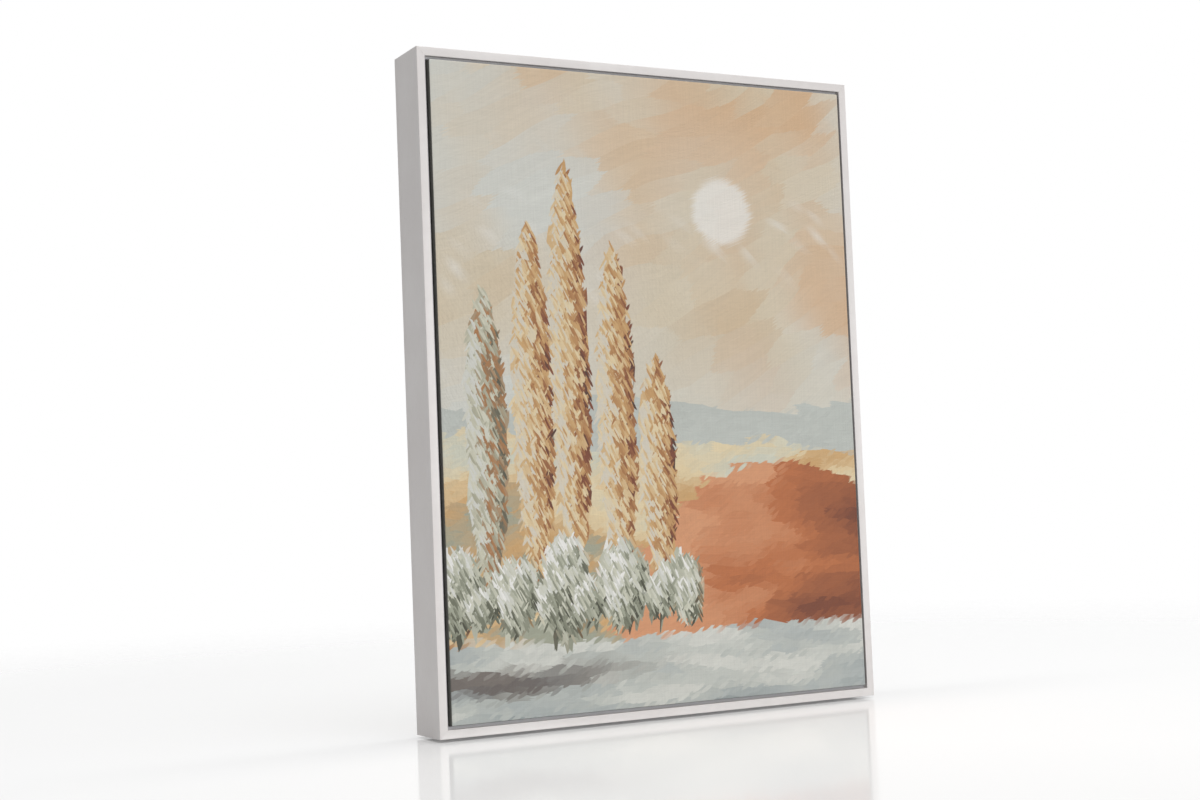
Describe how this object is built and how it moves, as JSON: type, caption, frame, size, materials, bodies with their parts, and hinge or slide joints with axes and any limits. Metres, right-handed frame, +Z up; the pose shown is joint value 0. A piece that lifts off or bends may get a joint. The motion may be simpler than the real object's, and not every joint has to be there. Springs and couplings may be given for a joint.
{
  "type": "framed canvas",
  "caption": "Rectangular stretched canvas in a white floater frame, on a keyed wooden stretcher with a cross brace, and with D-ring hangers and wall bumpers on the back.",
  "frame": {"origin": "middle of the flat bottom face of the bottom rail, halfway between its front and back edges", "axes": "+X to the right seen from the front, the picture faces -Y, +Y towards the wall, +Z up"},
  "size_m": [0.48, 0.061, 0.6324],
  "materials": {
    "frame_paint": "satin white lacquer on wood",
    "stretcher_pine": "planed bare pine",
    "key_beech": "sawn bare beech",
    "canvas_cloth": "painted cotton canvas, raw on the back",
    "zinc_steel": "bright zinc plate",
    "bumper_rubber": "matt black rubber"
  },
  "bodies": {
    "frame": {"frame_rail_bottom": "frame_paint", "frame_rail_top": "frame_paint", "frame_rail_left": "frame_paint", "frame_rail_right": "frame_paint", "stretcher_bar_bottom": "stretcher_pine", "stretcher_bar_top": "stretcher_pine", "stretcher_bar_left": "stretcher_pine", "stretcher_bar_right": "stretcher_pine", "stretcher_cross_brace": "stretcher_pine", "corner_key_inner_bottom_left": "key_beech", "corner_key_outer_bottom_left": "key_beech", "corner_key_inner_bottom_right": "key_beech", "corner_key_outer_bottom_right": "key_beech", "corner_key_inner_top_left": "key_beech", "corner_key_outer_top_left": "key_beech", "corner_key_inner_top_right": "key_beech", "corner_key_outer_top_right": "key_beech", "canvas": "canvas_cloth", "v_nail_wall_bottom_left": "zinc_steel", "v_nail_flange_bottom_left": "zinc_steel", "v_nail_wall_bottom_right": "zinc_steel", "v_nail_flange_bottom_right": "zinc_steel", "v_nail_wall_top_left": "zinc_steel", "v_nail_flange_top_left": "zinc_steel", "v_nail_wall_top_right": "zinc_steel", "v_nail_flange_top_right": "zinc_steel", "mounting_screw_bottom_rail_left": "zinc_steel", "mounting_screw_bottom_rail_right": "zinc_steel", "mounting_screw_top_rail_left": "zinc_steel", "mounting_screw_top_rail_right": "zinc_steel", "mounting_screw_left_rail_bottom": "zinc_steel", "mounting_screw_left_rail_top": "zinc_steel", "mounting_screw_right_rail_bottom": "zinc_steel", "mounting_screw_right_rail_top": "zinc_steel", "hanger_strap_left": "zinc_steel", "hanger_strap_right": "zinc_steel", "hanger_screw_left_upper": "zinc_steel", "hanger_screw_left_lower": "zinc_steel", "hanger_screw_right_upper": "zinc_steel", "hanger_screw_right_lower": "zinc_steel", "wall_bumper_left": "bumper_rubber", "wall_bumper_right": "bumper_rubber"},
    "ring_left": {"hanger_ring_left": "zinc_steel"},
    "ring_right": {"hanger_ring_right": "zinc_steel"}
  },
  "joints": [
    {"name": "ring_left_pivot", "type": "hinge", "parent": "frame", "child": "ring_left", "pos_m": [-0.217, 0.02955, 0.48], "axis": [1, 0, 0], "range_deg": [0, 175]},
    {"name": "ring_right_pivot", "type": "hinge", "parent": "frame", "child": "ring_right", "pos_m": [0.217, 0.02955, 0.48], "axis": [1, 0, 0], "range_deg": [0, 175]}
  ]
}
